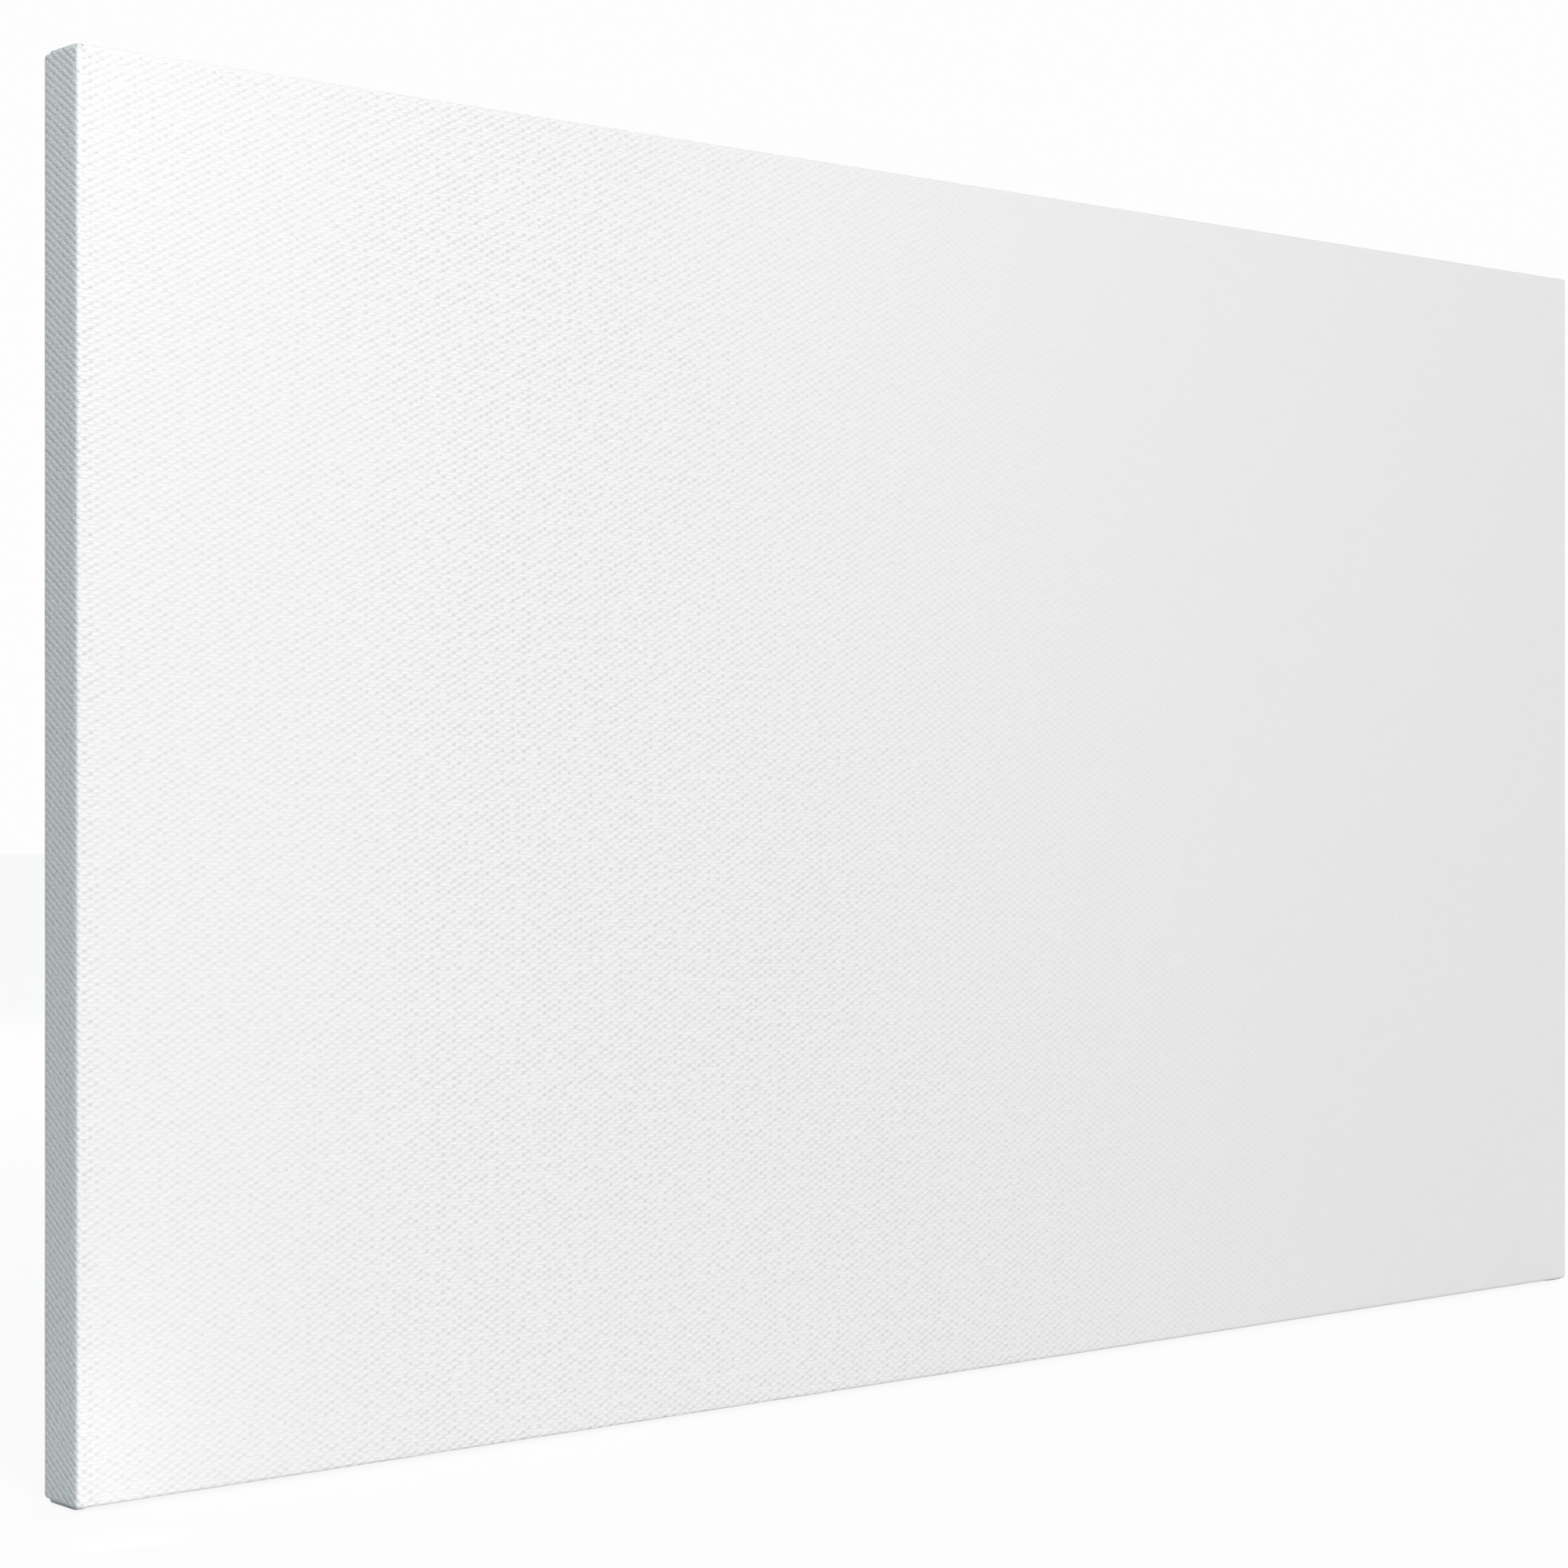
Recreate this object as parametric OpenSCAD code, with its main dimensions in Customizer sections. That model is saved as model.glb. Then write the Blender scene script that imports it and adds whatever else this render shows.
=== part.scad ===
// Stretched canvas: primed cotton cloth wrapped round a keyed wooden stretcher frame and stapled on the back.
// The canvas stands upright on its bottom edge: X runs along its width, Z is up, and its painting face looks along -Y.
// The origin is at the middle of the bottom, halfway through the depth. All sizes are in millimetres.

/* [Frame] */
// Outside width of the wooden frame
frame_w = 508; // [300:1:800]
// Outside height of the wooden frame
frame_h = 304.8; // [200:0.1:600]
// Radius of the frame's four corners, seen from the front
corner_r = 1; // [0.5:0.1:3]

/* [Stretcher bars] */
// Width of a bar, from its outer edge to its inner edge
bar_w = 36; // [32:0.5:60]
// Thickness of a bar at its outer edge
bar_t = 14; // [11.5:0.1:20]
// Width of the flat crown of the raised lip, which alone touches the cloth
lip_w = 3; // [1:0.5:8]
// Height of the lip, and radius of the cove behind it
lip_h = 2; // [0.5:0.1:3]
// Fall of the front face from the cove to the inner edge
front_fall = 0.7; // [0:0.1:1.5]
// Radius of the outer front edge, where the cloth turns
front_r = 0.3; // [0.2:0.1:1.5]
// Radius of the outer back edge
back_r = 1; // [0.5:0.1:3]
// Chamfer along the two inner edges
inner_chamfer = 0.8; // [0.3:0.1:1.5]

/* [Corner joints] */
// Thickness of each of the two slots in a mitred corner
slot_t = 2.6; // [2:0.1:3.2]
// Thickness of the cheek behind the slots
back_cheek = 1.9; // [1:0.1:3]
// Clearance round a tongue in its slot
tongue_gap = 0.1; // [0.05:0.05:0.3]
// Distance that a tongue's end stays inside the outer edge
tongue_set = 0.4; // [0.2:0.1:1]

/* [Keys] */
// Length of a key
key_len = 30; // [22:1:45]
// Width of a key at its thin end
key_tip_w = 5.6; // [4:0.1:8]
// Taper of a key, in degrees
key_taper = 9; // [4:0.5:14]
// Length of a key inside its slot
key_bite = 20; // [12:1:24]
// Room left in the slot ahead of a key, for tightening
key_room = 3; // [1:0.5:5]
// Clearance round a key in its slot
key_gap = 0.1; // [0.05:0.05:0.3]
// Clipped corners of a key
key_clip = 0.8; // [0.2:0.1:1.5]

/* [Canvas] */
// Thickness of the primed cloth
cloth_t = 0.5; // [0.3:0.05:0.8]
// Width of the cloth margin turned over onto the back
margin_w = 28; // [20:1:31]
// Distance from the outer corner to the crease of a corner fold
fold_inset = 2; // [0.5:0.1:3]

/* [Staples] */
// Width of a staple's crown
crown_w = 10; // [6:0.5:13]
// Length of a staple's legs
leg_len = 8; // [4:0.5:9]
// Width of the flat staple wire
wire_w = 0.8; // [0.5:0.1:1.2]
// Thickness of the flat staple wire
wire_t = 0.4; // [0.2:0.05:0.5]
// Largest spacing of the staples along a bar
staple_pitch = 46; // [30:1:80]
// Distance of the staple row from the outer edge
staple_row = 12; // [8:0.5:16]
// Distance from a corner to the nearest staple of the row
staple_end = 48; // [44:1:80]
// Distance of a corner staple from the fold's slanting crease
fold_staple = 4; // [2:0.5:6]

/* [Hidden] */
$fn = 64;

// Depth: the cloth in front, the bar, the cloth margin, and the second layer of the corner folds.
depth = bar_t + 3 * cloth_t;
bar_front = -depth / 2 + cloth_t;
bar_back = bar_front + bar_t;
margin_back = bar_back + cloth_t;
fold_back = margin_back + cloth_t;

// Height: the frame stands on the cloth and on the pleats under its corners, where the cloth turns back
// under itself and so adds two layers.
pleat_layers = 2;
frame_low = (1 + pleat_layers) * cloth_t;
frame_mid = frame_low + frame_h / 2;

// The two slots of a corner lie side by side, from the back forwards.
rear_slot = bar_back - back_cheek - slot_t;
front_slot = rear_slot - slot_t;

// Bars follow each other anticlockwise, seen from the front: bottom, right, top, left.
BOTTOM = 0;
RIGHT = 1;
TOP = 2;
LEFT = 3;
function bar_length(side) = side % 2 == 0 ? frame_w : frame_h;
function half_span(side) = bar_length(side + 1) / 2;

// Width of a key at a height above its thin end.
function key_width(up) = key_tip_w + up * tan(key_taper);

cloth_white = [0.95, 0.95, 0.94];
pine = [0.87, 0.74, 0.55];
beech = [0.80, 0.62, 0.42];
steel = [0.70, 0.71, 0.73];
past = 1; // how far a cut runs past the face it opens

// Extrudes an XZ outline from y0 to y1.
module slab(y0, y1) {
    translate([0, y1, 0]) rotate([90, 0, 0]) linear_extrude(y1 - y0) children();
}

// Puts a piece drawn for a bar, with its outer edge on z = 0, on one side of the frame.
module on_side(side) {
    translate([0, 0, frame_mid]) rotate([0, -90 * side, 0]) translate([0, 0, -half_span(side)]) children();
}

module rounded_rect(w, h, r) {
    square([w - 2 * r, h], center = true);
    square([w, h - 2 * r], center = true);
    for (x = [-1, 1], z = [-1, 1]) translate([x * (w / 2 - r), z * (h / 2 - r)]) circle(r);
}

// Band from y0 to y1 and -half to half, with its two front and two back corners rounded.
module edge_band(half, y0, y1, r0, r1) {
    translate([-half, y0 + r0]) square([2 * half, y1 - y0 - r0 - r1]);
    translate([-half + r0, y0]) square([2 * (half - r0), (y1 - y0) / 2]);
    translate([-half + r1, (y0 + y1) / 2]) square([2 * (half - r1), (y1 - y0) / 2]);
    for (x = [-1, 1]) {
        translate([x * (half - r0), y0 + r0]) circle(r0);
        translate([x * (half - r1), y1 - r1]) circle(r1);
    }
}

// The frame's outer form, grown all round by a number of cloth layers.
module wrapped_block(layers) {
    grow = layers * cloth_t;
    w = frame_w + 2 * grow;
    h = frame_h + 2 * grow;
    y0 = bar_front - grow;
    y1 = bar_back + grow;
    translate([0, 0, frame_mid]) intersection() {
        slab(y0, y1) rounded_rect(w, h, corner_r + grow);
        linear_extrude(h, center = true) edge_band(w / 2, y0, y1, front_r + grow, back_r + grow);
        rotate([0, 90, 0]) linear_extrude(w, center = true)
            edge_band(h / 2, y0, y1, front_r + grow, back_r + grow);
    }
}

// ---- Stretcher bars ----

// Section of a bar: the first coordinate runs in from the outer edge, the second from front to back.
module bar_section() {
    behind_lip = bar_front + lip_h;
    inner_front = behind_lip + front_fall;
    polygon([
        [0, bar_front], [lip_w, bar_front], [lip_w, behind_lip], [lip_w + lip_h, behind_lip],
        [bar_w - inner_chamfer, inner_front], [bar_w, inner_front + inner_chamfer],
        [bar_w, bar_back - inner_chamfer], [bar_w - inner_chamfer, bar_back], [0, bar_back]
    ]);
    difference() {
        translate([lip_w / 2, bar_front]) square([lip_w / 2 + lip_h, lip_h + front_fall / 4]);
        translate([lip_w + lip_h, bar_front]) circle(lip_h);
        translate([lip_w + lip_h / 2, behind_lip]) square([lip_h, lip_h]);
    }
}

// Tongue beyond the mitre at the start of a bar, in the slot that begins at slot_y.
module tongue(length, slot_y) {
    start = -length / 2 + tongue_set;
    slab(slot_y + tongue_gap, slot_y + slot_t - tongue_gap)
        polygon([[start, tongue_set], [start, bar_w], [start - tongue_set + bar_w, bar_w],
                 [start - tongue_set + bar_w, tongue_set]]);
}

// Slot at the start of a bar: room for the neighbour's tongue, and the tapered mouth for a key.
module corner_slot(length, slot_y) {
    inner_line = -length / 2 + bar_w;
    key_low = bar_w - key_bite;
    slot_low = key_low - key_room;
    side_gaps = 2 * key_gap;
    slab(slot_y, slot_y + slot_t) {
        translate([-length / 2 - past, -past]) square([bar_w + past + tongue_gap, bar_w + 2 * past]);
        polygon([
            [inner_line, slot_low],
            [inner_line + key_width(slot_low - key_low) + side_gaps, slot_low],
            [inner_line + key_width(bar_w + past - key_low) + side_gaps, bar_w + past],
            [inner_line, bar_w + past]
        ]);
    }
}

// A bar along X. Its start end has its tongue in the rear slot and its finish end in the front one,
// so that every corner joins a start to a finish.
module stretcher_bar(side) {
    length = bar_length(side);
    color(pine) intersection() {
        on_side(side) difference() {
            union() {
                intersection() {
                    rotate([0, -90, 0]) linear_extrude(length, center = true) bar_section();
                    slab(bar_front - past, bar_back + past)
                        polygon([[-length / 2, 0], [length / 2, 0],
                                 [length / 2 - bar_w, bar_w], [-length / 2 + bar_w, bar_w]]);
                }
                tongue(length, rear_slot);
                mirror([1, 0, 0]) tongue(length, front_slot);
            }
            corner_slot(length, front_slot);
            mirror([1, 0, 0]) corner_slot(length, rear_slot);
        }
        wrapped_block(0);
    }
}

// ---- Keys ----

// Wedge in the slot at the start of a bar. Its straight edge lies on the neighbour's tongue.
module key_shape(length, slot_y) {
    edge = -length / 2 + bar_w + key_gap;
    low = bar_w - key_bite;
    high = low + key_len;
    slab(slot_y + key_gap, slot_y + slot_t - key_gap)
        polygon([
            [edge, low + key_clip], [edge + key_clip, low],
            [edge + key_width(0) - key_clip, low], [edge + key_width(key_clip), low + key_clip],
            [edge + key_width(key_len - key_clip), high - key_clip],
            [edge + key_width(key_len) - key_clip, high],
            [edge + key_clip, high], [edge, high - key_clip]
        ]);
}

module key_at_start(side) {
    color(beech) on_side(side) key_shape(bar_length(side), front_slot);
}

module key_at_finish(side) {
    color(beech) on_side(side) mirror([1, 0, 0]) key_shape(bar_length(side), rear_slot);
}

// ---- Canvas ----

// Pleat under the bottom edge at the lower left corner. It starts at the front corner and widens to the back.
module corner_pleat() {
    crease = -frame_w / 2 - cloth_t + fold_inset;
    pleat_len = margin_back - bar_front;
    intersection() {
        difference() {
            wrapped_block(1 + pleat_layers);
            wrapped_block(1);
        }
        translate([0, 0, -past]) linear_extrude(past + frame_low + back_r)
            polygon([[crease, bar_front + front_r], [crease + pleat_len, margin_back],
                     [crease + pleat_len, fold_back], [crease, fold_back]]);
    }
}

// The pleat's end at the back, folded over the margin along a slanting crease.
module corner_fold() {
    crease = -frame_w / 2 - cloth_t + fold_inset;
    fold_len = margin_w - fold_inset;
    low = frame_low - cloth_t;
    intersection() {
        difference() {
            wrapped_block(2);
            wrapped_block(1);
        }
        slab(bar_back - back_r, fold_back + past)
            polygon([[crease, low - past], [crease + fold_len, low - past],
                     [crease + fold_len, low + fold_len], [crease, low]]);
    }
}

module canvas() {
    opening_w = frame_w + 2 * (cloth_t - margin_w);
    opening_h = frame_h + 2 * (cloth_t - margin_w);
    color(cloth_white) union() {
        difference() {
            wrapped_block(1);
            wrapped_block(0);
            translate([0, 0, frame_mid]) slab(bar_back - past, margin_back + past)
                square([opening_w, opening_h], center = true);
        }
        for (x = [0, 1], z = [0, 1])
            translate([0, 0, frame_mid]) mirror([x, 0, 0]) mirror([0, 0, z]) translate([0, 0, -frame_mid]) {
                corner_pleat();
                corner_fold();
            }
    }
}

// ---- Staples ----

// One staple through the cloth, with its crown along X and flush with the cloth at y = 0.
module staple() {
    half = crown_w / 2;
    translate([0, 0, -wire_w / 2]) linear_extrude(wire_w)
        polygon([
            [-half, 0], [half, 0], [half, -leg_len], [half - wire_t, wire_t - leg_len],
            [half - wire_t, -wire_t], [wire_t - half, -wire_t], [wire_t - half, wire_t - leg_len],
            [-half, -leg_len]
        ]);
}

// The row along one side, spread evenly between its two ends.
module staple_line(side) {
    run = bar_length(side) - 2 * staple_end;
    count = max(2, ceil(run / staple_pitch) + 1);
    on_side(side) for (i = [0 : count - 1])
        translate([-run / 2 + i * run / (count - 1), margin_back, staple_row]) staple();
}

// The staple beside the slanting crease of the fold at the start of a bar.
module fold_staple_at(side, turn) {
    fold_mid = (fold_inset + margin_w) / 2 - cloth_t;
    step = fold_staple / sqrt(2);
    on_side(side) mirror([turn, 0, 0])
        translate([-bar_length(side) / 2 + fold_mid + step, fold_back, fold_mid - fold_inset - step])
            rotate([0, -45, 0]) staple();
}

module staples(side) {
    color(steel) {
        staple_line(side);
        if (side % 2 == 0) for (turn = [0, 1]) fold_staple_at(side, turn);
    }
}

canvas();
stretcher_bar(BOTTOM);  // bottom_bar
stretcher_bar(RIGHT);  // right_bar
stretcher_bar(TOP);  // top_bar
stretcher_bar(LEFT);  // left_bar
key_at_start(BOTTOM);  // key_bottom_bar_left
key_at_finish(BOTTOM);  // key_bottom_bar_right
key_at_start(RIGHT);  // key_right_bar_lower
key_at_finish(RIGHT);  // key_right_bar_upper
key_at_start(TOP);  // key_top_bar_right
key_at_finish(TOP);  // key_top_bar_left
key_at_start(LEFT);  // key_left_bar_upper
key_at_finish(LEFT);  // key_left_bar_lower
staples(BOTTOM);  // staples_bottom
staples(RIGHT);  // staples_right
staples(TOP);  // staples_top
staples(LEFT);  // staples_left
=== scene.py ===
"""Dresses the stretched canvas: folded primed cloth, pine bars, beech keys, wire staples and the studio.

Every size is in metres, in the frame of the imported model: X runs along the width, Z is up, and the painting
face looks towards -Y.
"""

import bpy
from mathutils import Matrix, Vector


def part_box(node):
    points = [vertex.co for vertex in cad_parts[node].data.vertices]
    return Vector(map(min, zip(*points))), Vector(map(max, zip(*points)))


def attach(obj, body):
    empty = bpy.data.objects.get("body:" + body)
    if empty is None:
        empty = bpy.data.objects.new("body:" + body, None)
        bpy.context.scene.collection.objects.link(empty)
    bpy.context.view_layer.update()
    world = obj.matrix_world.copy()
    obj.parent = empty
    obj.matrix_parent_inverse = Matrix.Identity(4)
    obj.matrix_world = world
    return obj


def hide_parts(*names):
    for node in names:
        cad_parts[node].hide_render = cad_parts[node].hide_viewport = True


bl_info = {
    "name": "Stretched Canvas",
    "version": (1, 0, 0),
    "blender": (4, 5, 0),
    "location": "3D View > Sidebar > Canvas",
    "description": "Folds, weave, staples and finishes for a keyed, back-stapled stretched canvas",
    "category": "Object",
}

import math
import random

import bmesh
import bpy
from bpy.props import FloatProperty, FloatVectorProperty, PointerProperty
from mathutils import Matrix, Vector, noise

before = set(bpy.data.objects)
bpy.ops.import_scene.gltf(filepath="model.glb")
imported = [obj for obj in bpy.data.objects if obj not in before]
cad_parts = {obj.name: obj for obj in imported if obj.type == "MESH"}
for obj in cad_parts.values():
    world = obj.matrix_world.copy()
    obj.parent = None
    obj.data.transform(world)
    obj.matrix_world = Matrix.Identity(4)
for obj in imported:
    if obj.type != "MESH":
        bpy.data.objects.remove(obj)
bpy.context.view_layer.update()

MM = 0.001
LOW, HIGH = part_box("canvas")
BARS = ("bottom_bar", "right_bar", "top_bar", "left_bar")
KEYS = tuple(n for n in sorted(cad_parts) if n.startswith("key_"))
STAPLES = ("staples_bottom", "staples_right", "staples_top", "staples_left")


# ---- Settings ----


class ClothSettings(bpy.types.PropertyGroup):
    """The primed cloth and the way it is folded"""

    thickness: FloatProperty(
        name="Thickness", description="Thickness of the primed cloth", default=0.5 * MM, unit="LENGTH")
    margin: FloatProperty(
        name="Margin", description="Cloth turned over onto the back", default=28 * MM, unit="LENGTH")
    front_radius: FloatProperty(
        name="Front radius", description="Turn of the cloth at the front edge", default=0.8 * MM, unit="LENGTH")
    back_radius: FloatProperty(
        name="Back radius", description="Turn of the cloth at the back edge", default=1.5 * MM, unit="LENGTH")
    corner_turn: FloatProperty(
        name="Corner turn", description="Turn of the cloth between two sides, at the back",
        default=1.1 * MM, unit="LENGTH")
    fold_inset: FloatProperty(
        name="Fold inset", description="From the outer corner to the crease of a fold",
        default=1.4 * MM, unit="LENGTH")
    pleat: FloatProperty(
        name="Pleat", description="Height of the folded layers under a corner", default=1.0 * MM, unit="LENGTH")
    upper_pleat: FloatProperty(
        name="Upper pleat", description="Share of that height left by the tighter folds on top",
        default=0.75, subtype="FACTOR")
    warp_pitch: FloatProperty(
        name="Warp pitch", description="Distance between upright threads", default=1.49 * MM, unit="LENGTH")
    weft_pitch: FloatProperty(
        name="Weft pitch", description="Distance between level threads", default=0.862 * MM, unit="LENGTH")
    weft_slope: FloatProperty(
        name="Weft slope", description="Fall of the level threads along the width", default=0.036)
    lean: FloatProperty(
        name="Lean", default=0.26,
        description="How far the crossings line up in rising rows on the face, and fall on the sides")
    relief: FloatProperty(
        name="Relief", description="Height of the weave under the primer", default=0.38 * MM, unit="LENGTH")
    fray_spacing: FloatProperty(
        name="Fray spacing", description="Between loose threads along a cut edge",
        default=6.0 * MM, unit="LENGTH")
    fray_length: FloatProperty(
        name="Fray length", description="Longest loose thread", default=5.0 * MM, unit="LENGTH")
    primer: FloatVectorProperty(
        name="Primer", description="Colour of the primer", subtype="COLOR", size=3, default=(0.94, 0.94, 0.935))
    cotton: FloatVectorProperty(
        name="Cotton", description="Colour of the bare cotton inside",
        subtype="COLOR", size=3, default=(0.76, 0.69, 0.56))


class WoodSettings(bpy.types.PropertyGroup):
    """The bars and the keys"""

    pine_light: FloatVectorProperty(
        name="Pine, early wood", description="Pale bands of the bars",
        subtype="COLOR", size=3, default=(0.72, 0.52, 0.31))
    pine_dark: FloatVectorProperty(
        name="Pine, late wood", description="Dark bands of the bars",
        subtype="COLOR", size=3, default=(0.53, 0.32, 0.15))
    beech_light: FloatVectorProperty(
        name="Beech", description="Ground of the keys", subtype="COLOR", size=3, default=(0.62, 0.42, 0.26))
    beech_dark: FloatVectorProperty(
        name="Beech flecks", description="Flecks of the keys",
        subtype="COLOR", size=3, default=(0.40, 0.23, 0.12))


class StapleSettings(bpy.types.PropertyGroup):
    """The wire staples"""

    wire_width: FloatProperty(
        name="Wire width", description="Width of the flattened wire", default=0.8 * MM, unit="LENGTH")
    wire_depth: FloatProperty(
        name="Wire depth", description="Thickness of the flattened wire", default=0.45 * MM, unit="LENGTH")
    proud: FloatProperty(
        name="Proud", description="How far a crown stands above the cloth", default=0.22 * MM, unit="LENGTH")
    steel: FloatVectorProperty(
        name="Steel", description="Colour of the galvanised wire",
        subtype="COLOR", size=3, default=(0.62, 0.64, 0.66))


class StageSettings(bpy.types.PropertyGroup):
    """The floor, the lights and the camera"""

    key_power: FloatProperty(
        name="Key light", description="Power of the soft light in front", default=47.0, subtype="POWER")
    top_power: FloatProperty(
        name="Top light", description="Power of the long light over the top edge",
        default=0.21, subtype="POWER")
    corner_power: FloatProperty(
        name="Corner light", description="Power of the small light at the upper near corner",
        default=0.042, subtype="POWER")
    low_power: FloatProperty(
        name="Low light", description="Power of the small light at the lower near corner",
        default=0.0205, subtype="POWER")
    foot_power: FloatProperty(
        name="Foot light", description="Power of the smallest light, close to the foot of the near edge",
        default=0.0014, subtype="POWER")
    back_power: FloatProperty(
        name="Back light", description="Power of the soft light behind", default=6.0, subtype="POWER")
    ambient: FloatVectorProperty(
        name="Ambient", description="Even light from all round",
        subtype="COLOR", size=3, default=(0.567, 0.578, 0.580))
    shade: FloatVectorProperty(
        name="Shaded sides", description="Dimmer, cooler light from the near side",
        subtype="COLOR", size=3, default=(0.0, 0.090, 0.112))
    lens: FloatProperty(
        name="Lens", description="Focal length on a 36 mm sensor", default=77.546, unit="CAMERA")


# ---- The cloth's way round the frame ----

FRONT_TURN_ROWS, SIDE_ROWS, BACK_TURN_ROWS = 4, 7, 6
SAME = 1e-9  # two distances along the cloth that differ by less are one

# Half lengths along a staple's crown and across it: the dent under the crown, and the cloth that it holds down.
DENT = (6.2 * MM, 1.7 * MM)
HELD = (11 * MM, 12 * MM)
STAPLE_REACH = 30 * MM


def cloth():
    """The settings of the cloth."""
    return bpy.context.scene.canvas_cloth


def smooth(low, high, value):
    """0 below low, 1 above high, and an even curve between."""
    t = min(max((value - low) / (high - low), 0.0), 1.0)
    return t * t * (3 - 2 * t)


def layer_box():
    """Outer surface of a single layer of cloth: (half width, bottom, top, front, back)."""
    c = cloth()
    return HIGH.x, LOW.z + c.pleat, HIGH.z - c.pleat, LOW.y, HIGH.y - c.thickness


class Wrap:
    """The section of a flap, from the front face round the edge to its cut edge on the back."""

    def __init__(self):
        c = cloth()
        *_, self.front, self.back = layer_box()
        self.r0, self.r1 = c.front_radius, c.back_radius
        self.side = self.back - self.front - self.r0 - self.r1
        self.turn0, self.turn1 = self.r0 * math.pi / 2, self.r1 * math.pi / 2
        self.length = self.turn0 + self.side + self.turn1 + c.margin - self.r1

    def at(self, s):
        """(inset from the side's plane, depth, outward and backward parts of the normal) at s past the face."""
        if s < self.turn0:
            sin, cos = math.sin(s / self.r0), math.cos(s / self.r0)
            return self.r0 * (1 - sin), self.front + self.r0 * (1 - cos), sin, -cos
        s -= self.turn0
        if s < self.side:
            return 0.0, self.front + self.r0 + s, 1.0, 0.0
        s -= self.side
        if s < self.turn1:
            sin, cos = math.sin(s / self.r1), math.cos(s / self.r1)
            return self.r1 * (1 - cos), self.back - self.r1 * (1 - sin), cos, sin
        return self.r1 + s - self.turn1, self.back, 0.0, 1.0

    def rows(self, margin_steps):
        """Distances past the front face at which the flap is divided."""
        side = self.turn0 + self.side
        turned = side + self.turn1
        return (
            [self.turn0 * k / FRONT_TURN_ROWS for k in range(FRONT_TURN_ROWS)]
            + [self.turn0 + self.side * k / SIDE_ROWS for k in range(SIDE_ROWS)]
            + [side + self.turn1 * k / BACK_TURN_ROWS for k in range(BACK_TURN_ROWS)]
            + [turned + step for step in margin_steps]
        )


def corner_radius(depth):
    """The turn between two sides is tight at the front corner and rounder at the back."""
    c = cloth()
    *_, front, back = layer_box()
    return c.front_radius + (c.corner_turn - c.front_radius) * smooth(front, back, depth)


def staple_places():
    """(middle of the crown, its direction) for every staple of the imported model."""
    places = []
    for name in STAPLES:
        bm = bmesh.new()
        bm.from_mesh(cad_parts[name].data)
        bmesh.ops.remove_doubles(bm, verts=bm.verts[:], dist=1e-7)
        left = dict.fromkeys(bm.verts)  # keeps their order, so that every run finds the staples in the same one
        while left:
            island, queue = [], [left.popitem()[0]]
            while queue:
                v = queue.pop()
                island.append(v.co.copy())
                near = [e.other_vert(v) for e in v.link_edges]
                near = [n for n in near if n in left]
                queue += near
                for n in near:
                    del left[n]
            top = max(p.y for p in island)
            crown = [p for p in island if p.y > top - 0.01 * MM]
            middle = sum(crown, Vector()) / len(crown)
            far = max(crown, key=lambda p: (p - middle).length)
            ends = [p for p in crown if (p - far).length < 1.0 * MM]
            along = (sum(ends, Vector()) / len(ends) - middle).normalized()
            places.append((middle, along))
        bm.free()
    return places


PLACES = staple_places()


def back_relief(x, z, inset):
    """How far the margin stands off the wood: pulled in at the staples, loose towards its cut edge."""
    reach = inset / cloth().margin
    held = dent = 0.0
    for middle, along in PLACES:
        dx, dz = x - middle.x, z - middle.z
        if abs(dx) > STAPLE_REACH or abs(dz) > STAPLE_REACH:
            continue
        p = dx * along.x + dz * along.z
        q = dx * along.z - dz * along.x
        dent = max(dent, math.exp(-((p / DENT[0]) ** 2) - (q / DENT[1]) ** 2))
        held = max(held, math.exp(-((p / HELD[0]) ** 2) - (q / HELD[1]) ** 2))
    wave = noise.noise(Vector((x * 55, z * 55, 3.1))) + 0.5 * noise.noise(Vector((x * 170, z * 170, 7.7)))
    lift = smooth(0.45, 1.0, reach) * (0.30 + 0.45 * wave) * (1 - held) * MM
    ripple = 0.07 * MM * wave * smooth(0.1, 0.4, reach)
    return max(lift + ripple - 0.20 * MM * dent, -0.24 * MM)


def edge_wander(along):
    """The shears' wandering line at the cut edge."""
    slow = noise.noise(Vector((along * 35, 0.4, 1.3)))
    quick = noise.noise(Vector((along * 260, 2.4, 5.3)))
    return 0.35 * MM * slow + 0.12 * MM * quick


def side_relief(along, depth):
    """Shallow scallops where the staples pull the cloth round the side."""
    *_, front, back = layer_box()
    return 0.06 * MM * smooth(front, back, depth) * noise.noise(Vector((along * 40, depth * 60, 9.2)))


# ---- Patches of cloth ----

PRIMED, COTTON, FOLDED = range(3)

# Divisions over the height, closer together at both ends.
HEIGHT_SHARES = [0.0, 0.0012, 0.0035, 0.008] + [k / 74 for k in range(1, 74)] + [0.992, 0.9965, 0.9988, 1.0]
# Divisions from the last even column of a level flap out to its crease.
CREASE_SHARES = (0.14, 0.28, 0.41, 0.53, 0.64, 0.73, 0.80, 0.86, 0.905, 0.94, 0.965, 0.983, 1.0)
# Distances past the back turn at which the margins are divided.
SIDE_MARGIN = [t * MM for t in (8.5, 12, 15.5, 19, 22, 24.2, 25.3)]
LEVEL_MARGIN = [t * MM for t in (0, 1.2, 2.6, 4.2, 6, 8, 10, 12, 14, 16, 18, 20, 22, 24, 25.2)]
# Distances at which the ends are divided: the tuck of a side flap, and the layer creased back under a level one.
TUCK = [t * MM for t in (0.5, 1.2, 2.5, 5.0)]
UNDER = [t * MM for t in (1.0, 2.5, 4.5)]
END_LENGTH = 36 * MM  # part of a level flap, beside its crease, where the columns grow closer together
COLUMN = 4 * MM
TUCKED_SHARE = 0.6  # thickness of the tucked ends, squeezed under the folds


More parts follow.
